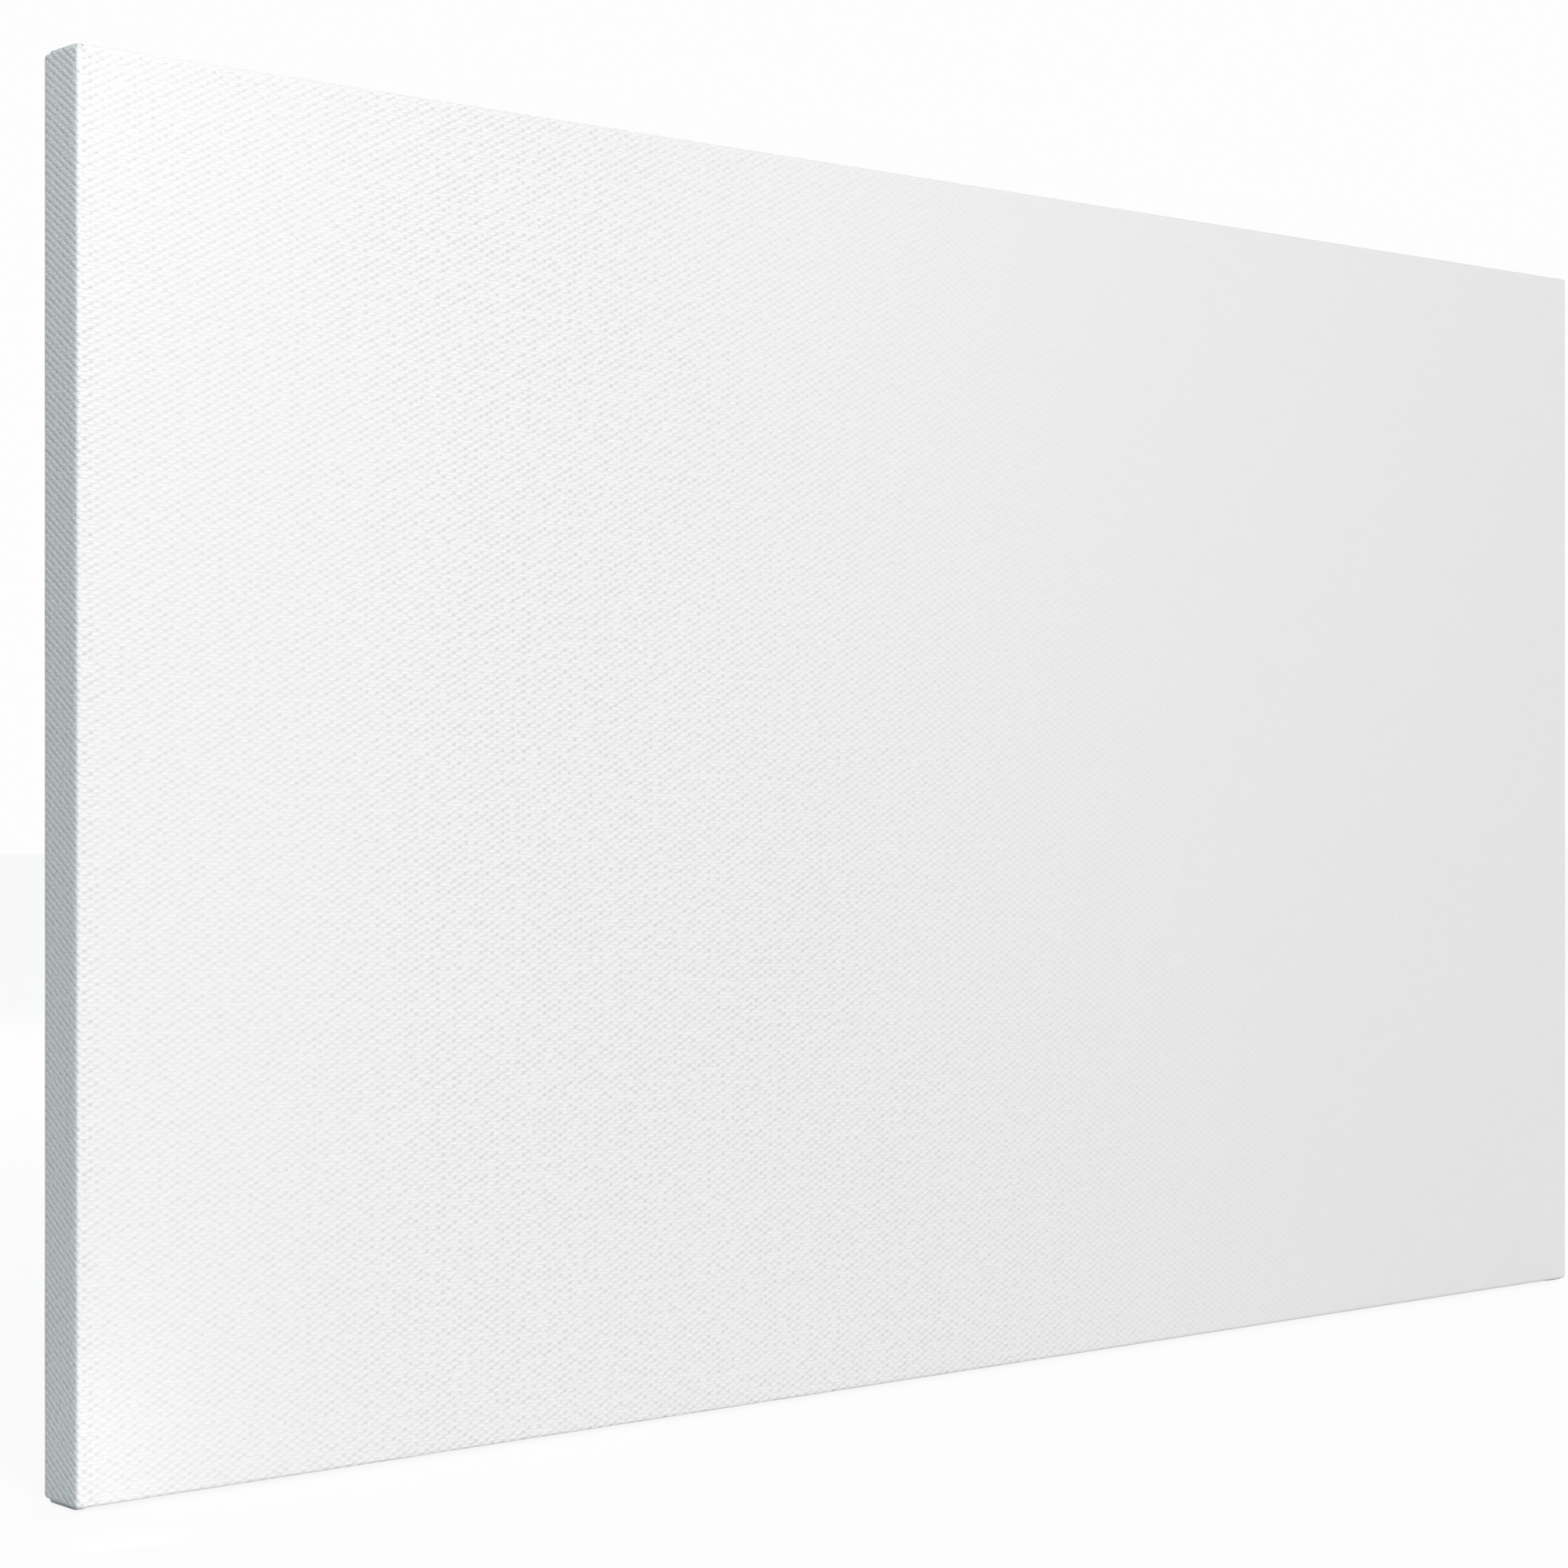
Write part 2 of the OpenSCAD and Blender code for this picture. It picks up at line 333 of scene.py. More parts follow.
class Sheet:
    """Collects folded patches of one cloth, with each point's place on the flat cut."""

    def __init__(self):
        self.bm = bmesh.new()
        self.flat = self.bm.verts.layers.float_vector.new("flat")
        self.loose = self.bm.verts.layers.float.new("loose")

    def patch(self, columns, rows, fold, flip=False, ends=0):
        """A grid whose points go where fold puts them. fold gives (place, flat place, share of the thickness).

        The given number of columns at both ends keeps the primer on the edges too.
        """
        last_column, last_row = len(columns) - 1, len(rows) - 1
        made = bmesh.ops.create_grid(self.bm, x_segments=last_column, y_segments=last_row, size=0.5)["verts"]
        faces = list({f for v in made for f in v.link_faces})
        for f in faces:
            i = (f.calc_center_median().x + 0.5) * last_column
            f.material_index = FOLDED if i < ends or i > last_column - ends else PRIMED
        for v in made:
            i = round((v.co.x + 0.5) * last_column)
            j = round((v.co.y + 0.5) * last_row)
            place, flat, full = fold(columns[i], rows[j])
            v.co = place
            v[self.flat] = (flat[0], flat[1], 0.0)
            v[self.loose] = full
        if flip:
            bmesh.ops.reverse_faces(self.bm, faces=faces)

    def finish(self, name):
        """The patches joined into one object, with the flat cut as its UV map."""
        bm = self.bm
        bmesh.ops.remove_doubles(bm, verts=bm.verts[:], dist=0.004 * MM)
        bmesh.ops.dissolve_degenerate(bm, dist=0.002 * MM, edges=bm.edges[:])
        uv = bm.loops.layers.uv.new("flat_cut")
        for f in bm.faces:
            f.smooth = True
            for loop in f.loops:
                loop[uv].uv = loop.vert[self.flat].xy
        shares = [v[self.loose] for v in bm.verts]
        o = placed(name, bm)
        group = o.vertex_groups.new(name="thickness")
        for i, share in enumerate(shares):
            group.add([i], share, "REPLACE")
        return o


def placed(name, bm):
    """A new object in the scene from a bmesh, which is freed."""
    mesh = bpy.data.meshes.new(name)
    bm.to_mesh(mesh)
    bm.free()
    o = bpy.data.objects.new(name, mesh)
    bpy.context.scene.collection.objects.link(o)
    return o


def steps(first, last, spacing):
    """Even divisions from first to last, about spacing apart."""
    n = max(1, round(abs(last - first) / spacing))
    return [first + (last - first) * k / n for k in range(n + 1)]


def with_ends(middle, end):
    """Columns of a flap from one end to the other: (kind, place, -1, 0 or 1 for the end that it is at)."""
    parts = ((reversed(end), -1), (middle, 0), (end, 1))
    return [(kind, at, side) for part, side in parts for kind, at in part]


def side_flap(sheet, mirrored):
    """The left flap, or the right one: round the side, onto the back, and tucked under the level flaps."""
    c, wrap = cloth(), Wrap()
    half, bottom, top, front, _ = layer_box()
    margin_steps = [0.0, *TUCK, *SIDE_MARGIN, c.margin - c.back_radius]
    rows = wrap.rows(margin_steps)
    turned = rows[-len(margin_steps)]
    straight = [("straight", t) for t in HEIGHT_SHARES]
    turn = [("turn", math.pi / 2 * k / 5) for k in range(1, 6)]
    columns = with_ends(straight, turn + [("tuck", e) for e in TUCK])
    side = 1 if mirrored else -1

    def fold(column, s):
        kind, at, end = column
        inset, depth, out, aft = wrap.at(s)
        radius = corner_radius(depth) if s < turned else c.corner_turn
        flat_x = side * (half - wrap.r0 + s)
        if kind == "straight":
            reach = half - inset
            z = bottom + radius + at * (top - bottom - 2 * radius)
            raise_back = back_relief(side * reach, z, inset) * aft if s >= turned else 0.0
            raise_out = side_relief(z, depth) * out
            if s >= wrap.length - SAME:
                reach += edge_wander(z)
            return Vector((side * (reach + raise_out), depth + raise_back, z)), (flat_x, z), 1.0
        mid = bottom + radius if end < 0 else top - radius
        if kind == "turn":
            level = max(radius - inset, 0.0)
            x, z = half - radius + level * math.cos(at), mid + end * level * math.sin(at)
            return Vector((side * x, depth, z)), (flat_x, mid + end * radius * at), 1.0
        x = half - radius - at
        under = 0.45 * MM * smooth(c.fold_inset - 0.3 * MM, c.fold_inset + 0.6 * MM, half - x)
        edge = bottom + inset if end < 0 else top - inset
        place = Vector((side * x, depth + under * smooth(front + 2 * MM, front, depth), edge - end * under))
        return place, (flat_x, mid + end * (radius * math.pi / 2 + at)), TUCKED_SHARE

    sheet.patch(columns, [s for s in rows if s <= turned + SAME], fold, flip=mirrored, ends=len(TUCK))
    sheet.patch(with_ends(straight, []), [s for s in rows if s >= turned - SAME], fold, flip=mirrored)


def level_flap(sheet, upper):
    """The bottom flap, or the top one: over the side flaps' tucks, its ends creased back under itself."""
    c, wrap = cloth(), Wrap()
    half, bottom, top, front, _ = layer_box()
    pleat = c.pleat * (c.upper_pleat if upper else 1.0)
    crease = half - c.fold_inset
    inner = half - c.margin
    straight_half = crease - END_LENGTH
    middle = [("middle", x) for x in steps(-straight_half, straight_half, COLUMN)]
    curls = [("curl", math.pi / 2 + math.pi * k / 6) for k in range(1, 7)]
    hidden = curls + [("under", u) for u in UNDER]
    columns = with_ends(middle, [("top", share) for share in CREASE_SHARES] + hidden)
    rows = wrap.rows([*LEVEL_MARGIN, c.margin - c.back_radius])
    edge = top if upper else bottom
    away = 1 if upper else -1
    back_layer = c.thickness * 1.1

    def raised(x, depth, out, aft):
        """How high the flap lies over the layers beneath it."""
        reach = crease - abs(x)
        width = max(depth - front, 0.5 * MM)
        begun = smooth(front - 0.4 * MM, front + 4.5 * MM, depth)
        over_pleat = (1 - smooth(width - 1.0 * MM, width + 1.6 * MM, reach)) * begun
        over_margin = 1 - smooth(crease - inner - 0.5 * MM, crease - inner + 2.2 * MM, reach)
        return pleat * over_pleat * max(out, 0.0) + back_layer * over_margin * max(aft, 0.0)

    def fold(column, s):
        kind, at, end = column
        inset, depth, out, aft = wrap.at(s)
        x_end = crease - (inset if s > wrap.turn0 else 0.0)
        lip = raised(x_end, depth, out, aft)
        curl = max(0.06 * MM, min(0.5 * lip, 0.5 * MM))
        fine = min(0.4, 0.8 * curl / c.thickness)
        open_part = kind in ("middle", "top")
        if kind == "middle":
            x, full = at, 1.0
        elif kind == "top":
            x = end * (straight_half + (x_end - curl - straight_half) * at)
            full = 1.0 - (1.0 - fine) * smooth(0.85, 1.0, at)
        elif kind == "curl":
            x, full = end * (x_end - curl + curl * abs(math.cos(at))), fine
            drop, travelled = curl * (1 - math.sin(at)), curl * (at - math.pi / 2)
        else:
            x, full = end * (x_end - curl - at), fine
            drop, travelled = 2 * curl, curl * math.pi + at
        height = raised(x, depth, out, aft)
        if not open_part:
            height = min(height, lip) - drop
        z = edge - away * inset
        if s > wrap.turn0 + wrap.side + wrap.turn1 - SAME:
            if open_part:
                height += back_relief(x, z, inset)
            if s >= wrap.length - SAME:
                z += away * edge_wander(x + 3.0)
        elif kind == "middle":
            height += side_relief(x, depth) * out
        place = Vector((x, depth + height * aft, z + away * height * out))
        flat_x = x if open_part else end * (x_end - curl + travelled)
        return place, (flat_x, edge + away * (s - wrap.r0)), full

    sheet.patch(columns, rows, fold, flip=not upper, ends=len(hidden))
    return [fold(column, 0.0)[0].x for column in columns if column[0] in ("middle", "top")]


def front_face(sheet, level_lines):
    """The painting face, taut and flat."""
    c = cloth()
    half, bottom, top, front, _ = layer_box()
    edge = half - c.front_radius
    tuck_lines = [edge, edge - TUCK[0]]
    xs = sorted(level_lines + tuck_lines + [-x for x in tuck_lines])
    low, high = bottom + c.front_radius, top - c.front_radius
    zs = [low + (high - low) * t for t in HEIGHT_SHARES]
    sheet.patch(xs, zs, lambda x, z: (Vector((x, front, z)), (x, z), 1.0))


class CANVAS_OT_cloth(bpy.types.Operator):
    """Fold the primed cloth round the frame, with a pleat and a slanting fold at each corner"""

    bl_idname = "canvas.cloth"
    bl_label = "Primed Cloth"

    def execute(self, context):
        c = cloth()
        sheet = Sheet()
        side_flap(sheet, mirrored=False)
        side_flap(sheet, mirrored=True)
        lines = level_flap(sheet, upper=False)
        level_flap(sheet, upper=True)
        front_face(sheet, lines)
        o = sheet.finish("primed_cloth")
        thick = o.modifiers.new("thickness", "SOLIDIFY")
        thick.thickness = c.thickness
        thick.offset = -1.0
        thick.vertex_group = "thickness"
        thick.material_offset = COTTON - PRIMED
        thick.material_offset_rim = COTTON - PRIMED
        primed = primed_cloth_material()
        for material in (primed, bare_cotton_material(), primed):
            o.data.materials.append(material)
        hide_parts("canvas")
        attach(o, "stretcher")
        return {"FINISHED"}


def cut_edges():
    """The cloth's open cut edges on the back: [(start, end, outward)] along the middle of its thickness."""
    source = bmesh.new()
    source.from_mesh(bpy.data.objects["primed_cloth"].data)
    _, bottom, top, _, back = layer_box()
    inner = cloth().margin + 6 * MM
    down = Vector((0, -cloth().thickness / 2, 0))
    found = []
    for edge in source.edges:
        a, b = (v.co.copy() for v in edge.verts)
        if not edge.is_boundary or min(a.y, b.y) < back - 0.2 * MM:
            continue
        along = (b - a).normalized()
        outward = (a + b) / 2 - edge.link_faces[0].calc_center_median()
        outward = outward - along * outward.dot(along)
        outward.y = 0.0
        outward.normalize()
        upright = abs(outward.x) > 0.8
        low, high = (bottom + inner, top - inner) if upright else (LOW.x + inner, HIGH.x - inner)
        middle = (a.z + b.z) / 2 if upright else (a.x + b.x) / 2
        if low < middle < high:
            found.append((a + down, b + down, outward))
    source.free()
    return found


class CANVAS_OT_fraying(bpy.types.Operator):
    """Draw out loose ends of thread along the cut edges on the back"""

    bl_idname = "canvas.fraying"
    bl_label = "Frayed Edges"

    def execute(self, context):
        rng = random.Random(29)
        bm = bmesh.new()
        edges = sorted(cut_edges(), key=lambda e: tuple(round(v, 5) for v in e[0]))
        if not edges:
            raise RuntimeError("the cloth has no open cut edge")
        for a, b, outward in edges:
            expected = (b - a).length / cloth().fray_spacing
            for _ in range(int(expected) + (rng.random() < expected % 1)):
                self.thread(bm, rng, a.lerp(b, rng.random()), (b - a).normalized(), outward)
        for f in bm.faces:
            f.smooth = True
        bmesh.ops.recalc_face_normals(bm, faces=bm.faces[:])
        o = placed("cut_edge_threads", bm)
        o.data.materials.append(thread_material())
        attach(o, "stretcher")
        return {"FINISHED"}

    def thread(self, bm, rng, start, along, outward):
        """A bent loose end: a thin section drawn out of the cut edge and laid down on the bar."""
        radius = rng.uniform(0.13, 0.20) * MM
        length = cloth().fray_length * rng.uniform(0.25, 1.0) ** 1.6
        pull, curl = rng.uniform(-0.5, 0.5), rng.uniform(-0.7, 0.7)
        drop = cloth().thickness / 2 - radius
        ring = bmesh.ops.create_circle(bm, cap_ends=True, segments=5, radius=radius)["verts"]
        bmesh.ops.rotate(bm, verts=ring, matrix=outward.to_track_quat("Z", "Y").to_matrix())
        place = start - outward * 0.5 * MM
        bmesh.ops.translate(bm, verts=ring, vec=place)
        face = ring[0].link_faces[0]
        for t in (0.0, 0.3, 0.55, 0.8, 1.0):
            onward = length * t * (1 - 0.25 * abs(curl) * t)
            sideways = length * t * (pull + curl * t)
            goal = start + outward * onward + along * sideways - Vector((0, drop * smooth(0.0, 0.55, t), 0))
            geom = bmesh.ops.extrude_face_region(bm, geom=[face])["geom"]
            face = next(g for g in geom if isinstance(g, bmesh.types.BMFace))
            bmesh.ops.translate(bm, verts=face.verts[:], vec=goal - place)
            if t == 1.0:
                tip = Matrix.Translation(-goal)
                bmesh.ops.scale(bm, verts=face.verts[:], vec=(0.5, 0.5, 0.5), space=tip)
            place = goal


# ---- Finishes ----

# How the weave is filled by the primer, which grows thicker to the right and towards the top.
FILL_START, FILL_END = -0.10, 0.11  # across the face, at the height where the two meet
FILL_RISE, FILL_DROP = 0.45, -0.07
FILLED_SHARE = 0.88
NEAR_SIDE_SHARE = 0.35  # share of the relief that is missing beside the near edge
MIDDLE_HEIGHT = 0.70  # height of the weave that lies level with the filled part

# Grain along X or along Z.
GRAIN_TURN = {"X": (0.0, 0.0, 0.0), "Z": (0.0, math.pi / 2, 0.0)}


def shaded(colour, share):
    """A darker shade of a colour."""
    return tuple(v * share for v in colour)


class Nodes:
    """A node tree and a short way to add nodes to it."""

    def __init__(self, tree):
        self.tree = tree
        tree.nodes.clear()

    def add(self, kind, sockets=None, **settings):
        """A node with its settings, and its inputs joined to other nodes' outputs or set to values."""
        node = self.tree.nodes.new("ShaderNode" + kind)
        for key, value in settings.items():
            setattr(node, key, value)
        for key, value in (sockets or {}).items():
            if isinstance(value, bpy.types.NodeSocket):
                self.tree.links.new(value, node.inputs[key])
            else:
                node.inputs[key].default_value = value
        return node

    def math(self, operation, *values):
        return self.add("Math", dict(enumerate(values)), operation=operation).outputs[0]

    def mix(self, share, *colours):
        a, b = (v if isinstance(v, bpy.types.NodeSocket) else (*v, 1.0) for v in colours)
        return self.add("Mix", {0: share, 6: a, 7: b}, data_type="RGBA").outputs[2]

    def ramp(self, share, low, high):
        sockets = {0: share, 1: low, 2: high, 3: 0.0, 4: 1.0}
        return self.add("MapRange", sockets, interpolation_type="SMOOTHSTEP").outputs[0]

    def noise(self, vector, scale, detail=2.0, roughness=0.5):
        sockets = {"Vector": vector, "Scale": scale, "Detail": detail, "Roughness": roughness}
        return self.add("TexNoise", sockets).outputs["Fac"]

    def drawn(self, vector, *scale):
        """The coordinates stretched along each axis."""
        return self.add("Mapping", {"Vector": vector, "Scale": scale}).outputs[0]

    def split(self, vector):
        return self.add("SeparateXYZ", {0: vector}).outputs

    def place(self):
        return self.add("TexCoord").outputs["Object"]

    def seen(self):
        """1 for what the camera sees, directly, mirrored or through glass, and 0 for the light that falls."""
        ray = self.add("LightPath").outputs
        mirrored = self.math("MAXIMUM", ray["Is Glossy Ray"], ray["Is Transmission Ray"])
        return self.math("MAXIMUM", ray["Is Camera Ray"], mirrored)


class Finish(Nodes):
    """A material and its nodes."""

    def __init__(self, name):
        self.material = bpy.data.materials.new(name)
        self.material.use_nodes = True
        super().__init__(self.material.node_tree)

    def bump(self, height, strength, distance):
        sockets = {"Height": height, "Strength": strength, "Distance": distance}
        return self.add("Bump", sockets).outputs[0]

    def surface(self, colour, roughness, bump, **sockets):
        sockets = {"Base Color": colour, "Roughness": roughness, "Normal": bump, **sockets}
        self.add("OutputMaterial", {0: self.add("BsdfPrincipled", sockets).outputs[0]})
        return self.material


def weave(f):
    """(height of the plain weave from 0 to 1, the flat cut's coordinates): level threads cross upright ones."""
    c = cloth()
    flat = f.add("UVMap", uv_map="flat_cut").outputs[0]
    parts = f.split(flat)
    wander = f.noise(flat, 42.0, 2.0)
    level_slub = f.noise(f.drawn(flat, 9.0, 700.0, 1.0), 1.0, 1.0)
    upright_slub = f.noise(f.drawn(flat, 420.0, 7.0, 1.0), 1.0, 1.0)
    v = f.math("ADD", parts[1], f.math("MULTIPLY", parts[0], c.weft_slope))
    u = f.math("MULTIPLY_ADD", parts[0], math.pi / c.warp_pitch, f.math("MULTIPLY", wander, 1.3))
    v = f.math("MULTIPLY_ADD", v, math.pi / c.weft_pitch, f.math("MULTIPLY", wander, 1.2))
    su, sv = f.math("SINE", u), f.math("SINE", v)
    # The crossings line up in rows that rise on the face and fall on the sides.
    aside = f.math("ABSOLUTE", f.split(f.place())[0])
    face = f.ramp(aside, HIGH.x - 0.2 * MM, HIGH.x - 2.0 * MM)
    lean = f.math("MULTIPLY", f.math("MULTIPLY_ADD", face, 2.4, -1.4), c.lean)
    rising = f.math("MULTIPLY", f.math("COSINE", f.math("SUBTRACT", u, v)), f.math("ADD", lean, 1.0))
    falling = f.math("MULTIPLY", f.math("COSINE", f.math("ADD", u, v)), f.math("SUBTRACT", 1.0, lean))
    over = f.math("MULTIPLY_ADD", f.math("SUBTRACT", rising, falling), 0.25, 0.5)
    under = f.math("SUBTRACT", 1.0, over)
    # Deep pits beside the crossings, most of them filled.
    pit = f.math("MULTIPLY", f.math("POWER", under, 3.6), f.ramp(f.noise(flat, 620.0, 1.0), 0.28, 0.66))
    swell = f.math("SUBTRACT", 1.0, pit)
    upright = f.math("MULTIPLY", under, f.math("ABSOLUTE", su))
    upright = f.math("MULTIPLY", upright, f.math("MULTIPLY_ADD", upright_slub, 0.4, 0.2))
    level = f.math("MULTIPLY", over, f.math("POWER", f.math("ABSOLUTE", sv), 1.2))
    level = f.math("MULTIPLY", level, f.math("MULTIPLY_ADD", level_slub, 0.4, 0.8))
    threads = f.math("SMOOTH_MAX", upright, level, 0.12)
    height = f.math("MULTIPLY_ADD", swell, 0.62, f.math("MULTIPLY", threads, 0.38))
    uneven = f.math("MULTIPLY_ADD", f.noise(flat, 900.0, 2.0), 0.5, 0.75)
    return f.math("MULTIPLY", height, uneven), flat


def primed_cloth_material():
    """White primer brushed over the weave, with painted shade in the weave's valleys."""
    c = cloth()
    f = Finish("primed_cloth")
    height, flat = weave(f)
    place = f.place()
    across, depth, up = f.split(place)
    upper = f.math("MULTIPLY_ADD", up, FILL_RISE, FILL_DROP)
    front = f.ramp(depth, LOW.y + 1.2 * MM, LOW.y + 0.3 * MM)
    smoothed = f.math("MULTIPLY", f.ramp(f.math("ADD", across, upper), FILL_START, FILL_END), front)
    kept = f.math("MULTIPLY_ADD", smoothed, -FILLED_SHARE, 1.0)
    inward = f.ramp(across, LOW.x + 2.0 * MM, LOW.x + 6.0 * MM)
    near_side = f.math("MULTIPLY", inward, f.ramp(across, -0.15, -0.215))
    kept = f.math("MULTIPLY", kept, f.math("MULTIPLY_ADD", near_side, -NEAR_SIDE_SHARE, 1.0))
    patchy = f.math("MULTIPLY_ADD", f.noise(place, 14.0, 3.0), 0.5, 0.75)
    grit = f.math("MULTIPLY", f.noise(flat, 2600.0, 2.0), 0.10)
    relief = f.math("MULTIPLY", f.math("SUBTRACT", height, MIDDLE_HEIGHT), f.math("MULTIPLY", kept, patchy))
    bump = f.bump(f.math("ADD", relief, grit), 1.0, c.relief)
    # Painted shade: the primer is darker where the weave lies low, less so where the primer fills it.
    painted_valley_shade = f.math("MULTIPLY_ADD", f.math("SUBTRACT", 0.5, height), kept, 0.5)
    colour = f.mix(painted_valley_shade, c.primer, shaded(c.primer, 0.78))
    cloud = f.math("MULTIPLY", f.noise(place, 5.0, 2.0), 0.035)
    colour = f.mix(cloud, colour, shaded(c.primer, 0.8))
    return f.surface(colour, 0.72, bump, **{"Specular IOR Level": 0.35})


def bare_cotton_material():
    """Unprimed cotton on the inside of the cloth and at its cut edges, with painted shade where the weave lies
    low.
    """
    cotton = cloth().cotton
    f = Finish("bare_cotton")
    height, flat = weave(f)
    fleck = f.ramp(f.noise(flat, 900.0, 2.0), 0.66, 0.74)
    # Painted shade: the cotton is darker where the weave lies low.
    colour = f.mix(height, shaded(cotton, 0.72), cotton)
    colour = f.mix(f.math("MULTIPLY", fleck, 0.5), colour, (0.28, 0.20, 0.12))
    fibre = f.noise(flat, 5200.0, 2.0)
    bump = f.bump(f.math("ADD", height, f.math("MULTIPLY", fibre, 0.35)), 1.0, 0.22 * MM)
    return f.surface(colour, 0.92, bump, **{"Specular IOR Level": 0.2, "Sheen Weight": 0.25})


def thread_material():
    """Bare cotton thread, its strands paler and darker along it."""
    cotton = cloth().cotton
    f = Finish("cotton_thread")
    strand = f.noise(f.place(), 5200.0, 3.0)
    colour = f.mix(strand, cotton, tuple(0.35 * v + 0.62 for v in cotton))
    return f.surface(colour, 0.9, f.bump(strand, 0.6, 0.06 * MM), **{"Specular IOR Level": 0.15})


def pine_material(name, along, seed):
    """Planed pine, its grain running along X or along Z."""
    w = bpy.context.scene.canvas_wood
    f = Finish(name)
    shift = (seed * 0.37, seed * 0.11, seed * 0.23)
    grain = f.add("Mapping", {"Vector": f.place(), "Location": shift, "Rotation": GRAIN_TURN[along]}).outputs[0]
    sway = f.noise(f.drawn(grain, 2.2, 24.0, 24.0), 1.0, 2.0, 0.4)
    parts = f.split(grain)
    radius = f.math("MULTIPLY_ADD", parts[1], 210.0, f.math("MULTIPLY", parts[2], 250.0))
    saw = f.math("FRACT", f.math("MULTIPLY_ADD", sway, 26.0, radius))
    late = f.math("MULTIPLY", f.ramp(saw, 0.35, 0.9), f.math("SUBTRACT", 1.0, f.ramp(saw, 0.92, 1.0)))
    fibre = f.noise(f.drawn(grain, 55.0, 2600.0, 2600.0), 1.0, 3.0, 0.65)
    colour = f.mix(f.math("MULTIPLY", late, 0.62), w.pine_light, w.pine_dark)
    colour = f.mix(f.math("MULTIPLY", fibre, 0.30), colour, shaded(w.pine_dark, 0.62))
    blotch = f.noise(grain, 18.0, 2.0)
    colour = f.mix(f.math("MULTIPLY", blotch, 0.22), colour, (0.80, 0.66, 0.46))
    bump = f.bump(f.math("ADD", f.math("MULTIPLY", late, 0.5), fibre), 0.6, 0.08 * MM)
    rough = f.math("MULTIPLY_ADD", late, -0.14, 0.66)
    return f.surface(colour, rough, bump, **{"Specular IOR Level": 0.4})


def beech_material(name, along):
    """Sawn beech with short flecks, its grain along the key."""
    w = bpy.context.scene.canvas_wood
    f = Finish(name)
    grain = f.add("Mapping", {"Vector": f.place(), "Rotation": GRAIN_TURN[along]}).outputs[0]
    fleck = f.ramp(f.noise(f.drawn(grain, 420.0, 2600.0, 2600.0), 1.0, 1.0), 0.60, 0.70)
    fibre = f.noise(f.drawn(grain, 90.0, 1500.0, 1500.0), 1.0, 3.0, 0.6)
    marks = f.noise(f.drawn(grain, 3300.0, 60.0, 60.0), 1.0, 0.0)
    colour = f.mix(fibre, w.beech_light, shaded(w.beech_light, 0.8))
    colour = f.mix(f.math("MULTIPLY", fleck, 0.65), colour, w.beech_dark)
    bump = f.bump(f.math("ADD", f.math("MULTIPLY", marks, 0.8), fibre), 0.7, 0.09 * MM)
    return f.surface(colour, 0.70, bump, **{"Specular IOR Level": 0.35})


def staple_material():
    """Galvanised wire, drawn lengthwise, with dull patches."""
    steel = bpy.context.scene.canvas_staples.steel
    f = Finish("galvanised_wire")
    place = f.place()
    dull = f.noise(place, 900.0, 3.0)
    colour = f.mix(f.ramp(dull, 0.35, 0.75), steel, shaded(steel, 0.68))
    bump = f.bump(f.noise(place, 5200.0, 2.0), 0.4, 0.03 * MM)
    rough = f.math("MULTIPLY_ADD", dull, 0.35, 0.22)
    return f.surface(colour, rough, bump, **{"Metallic": 1.0})


# ---- Pieces of wood and wire ----

CROWN, LEG, BEND = 10 * MM, 8 * MM, 0.55 * MM
BACKWARD = Vector((0, 1, 0))


def coat(node, material):
    """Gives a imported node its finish."""
    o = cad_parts[node]
    o.data.materials.clear()
    o.data.materials.append(material)


class CANVAS_OT_bars(bpy.types.Operator):
    """Finish the four mitred stretcher bars in planed pine"""

    bl_idname = "canvas.bars"
    bl_label = "Stretcher Bars"

    def execute(self, context):
        for seed, node in enumerate(BARS, start=1):
            along = "X" if node in ("bottom_bar", "top_bar") else "Z"
            coat(node, pine_material("pine_" + node, along, seed))
        return {"FINISHED"}


class CANVAS_OT_keys(bpy.types.Operator):
    """Finish the corner keys in sawn beech"""

    bl_idname = "canvas.keys"
    bl_label = "Corner Keys"

    def execute(self, context):
        upright, level = beech_material("beech_upright", "Z"), beech_material("beech_level", "X")
        for node in KEYS:
            low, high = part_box(node)
            coat(node, upright if high.z - low.z > high.x - low.x else level)
        return {"FINISHED"}


